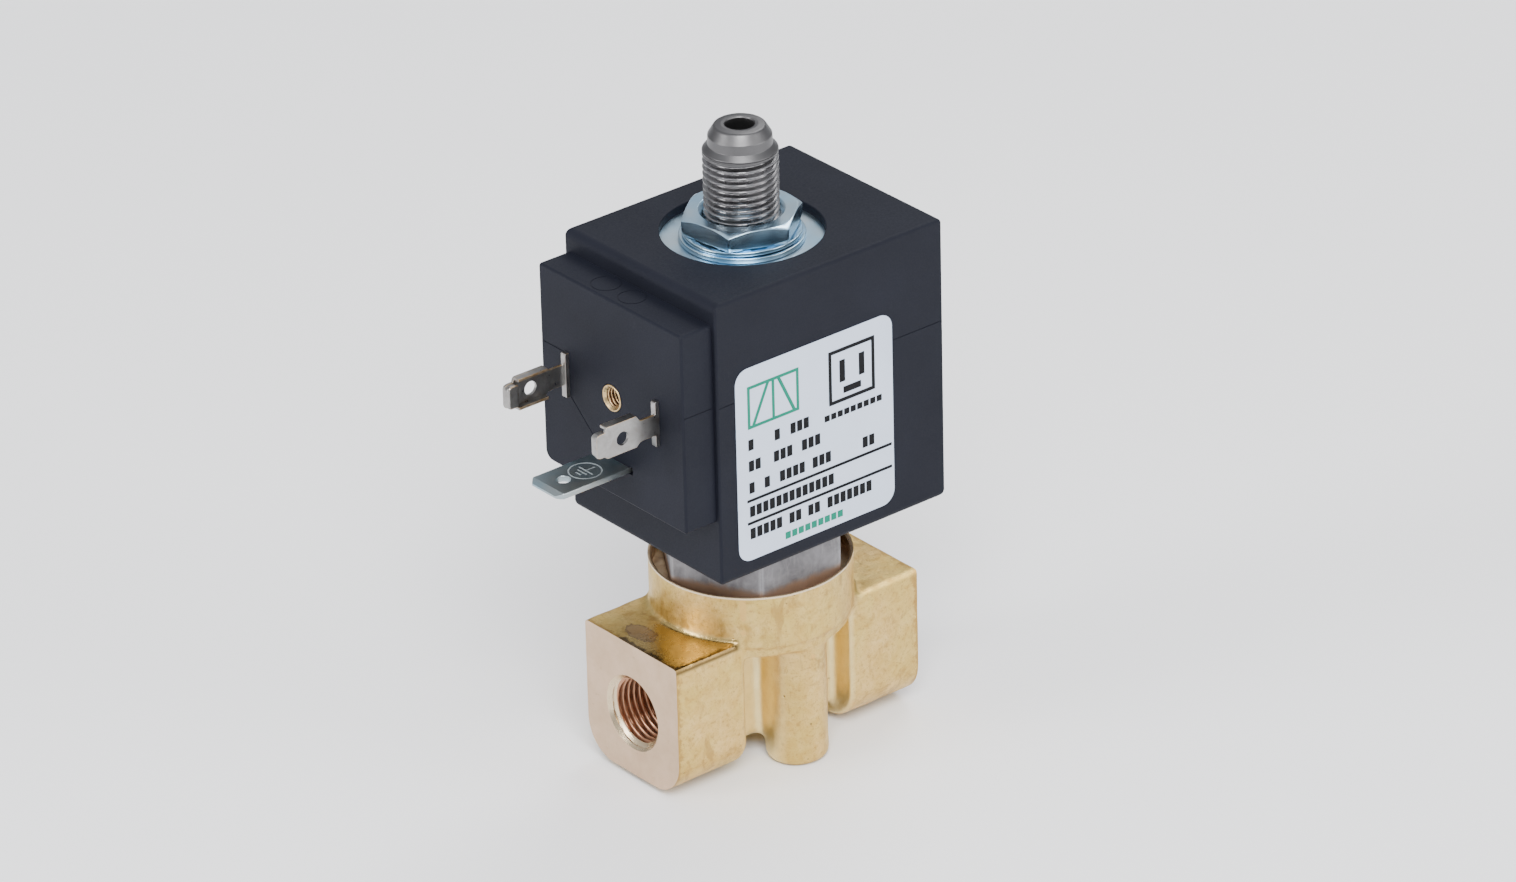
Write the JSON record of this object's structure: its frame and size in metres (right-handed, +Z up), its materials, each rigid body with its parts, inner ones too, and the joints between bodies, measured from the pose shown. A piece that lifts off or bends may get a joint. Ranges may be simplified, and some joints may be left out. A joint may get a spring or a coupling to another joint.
{
  "type": "solenoid valve",
  "caption": "Direct acting solenoid valve: forged brass body with in-line threaded ports, and a plug-in coil on a tube with a threaded exhaust.",
  "frame": {"origin": "on the axis of the armature tube, in the plane of the two mounting feet", "axes": "+Z up along the tube towards the exhaust fitting, X along the two ports with the coil's plugs facing -X, the label on the -Y face"},
  "size_m": [0.0536, 0.0301, 0.0874],
  "materials": {
    "brass_forging": "satin forged",
    "stainless": "turned",
    "magnetic_steel": "ground",
    "zinc_plate": "bluish zinc plated",
    "copper": "drawn",
    "spring_steel": "drawn",
    "seal_rubber": "moulded",
    "coil_plastic": "matt moulded",
    "bobbin_plastic": "matt moulded",
    "winding_wire": "enamelled",
    "tinned_brass": "tinned",
    "insert_brass": "turned",
    "label_film": "satin"
  },
  "bodies": {
    "valve": {"valve_body": "brass_forging", "tube_base": "stainless", "body_o_ring": "seal_rubber", "armature_tube": "stainless", "fixed_core": "stainless", "shading_ring": "copper", "flat_washer": "zinc_plate", "wave_washer": "zinc_plate", "coil_nut": "zinc_plate"},
    "plunger": {"plunger": "magnetic_steel", "inlet_seal": "seal_rubber", "exhaust_seal": "seal_rubber", "seal_spring": "spring_steel", "return_spring": "spring_steel"},
    "coil": {"coil_housing": "coil_plastic", "bobbin": "bobbin_plastic", "winding": "winding_wire", "yoke": "zinc_plate", "line_terminal": "tinned_brass", "neutral_terminal": "tinned_brass", "earth_terminal": "zinc_plate", "screw_insert": "insert_brass", "line_lead": "copper", "neutral_lead": "copper", "label_plate": "label_film"}
  },
  "joints": [
    {"name": "plunger_lift", "type": "slide", "parent": "valve", "child": "plunger", "axis": [0, 0, 1], "range_m": [0, 0.001], "stiffness_N_per_m": 600, "springref_m": -0.005, "deforming": ["return_spring"]},
    {"name": "coil_swivel", "type": "hinge", "parent": "valve", "child": "coil", "pos_m": [0, 0, 0.0528], "axis": [0, 0, 1], "continuous": true}
  ]
}
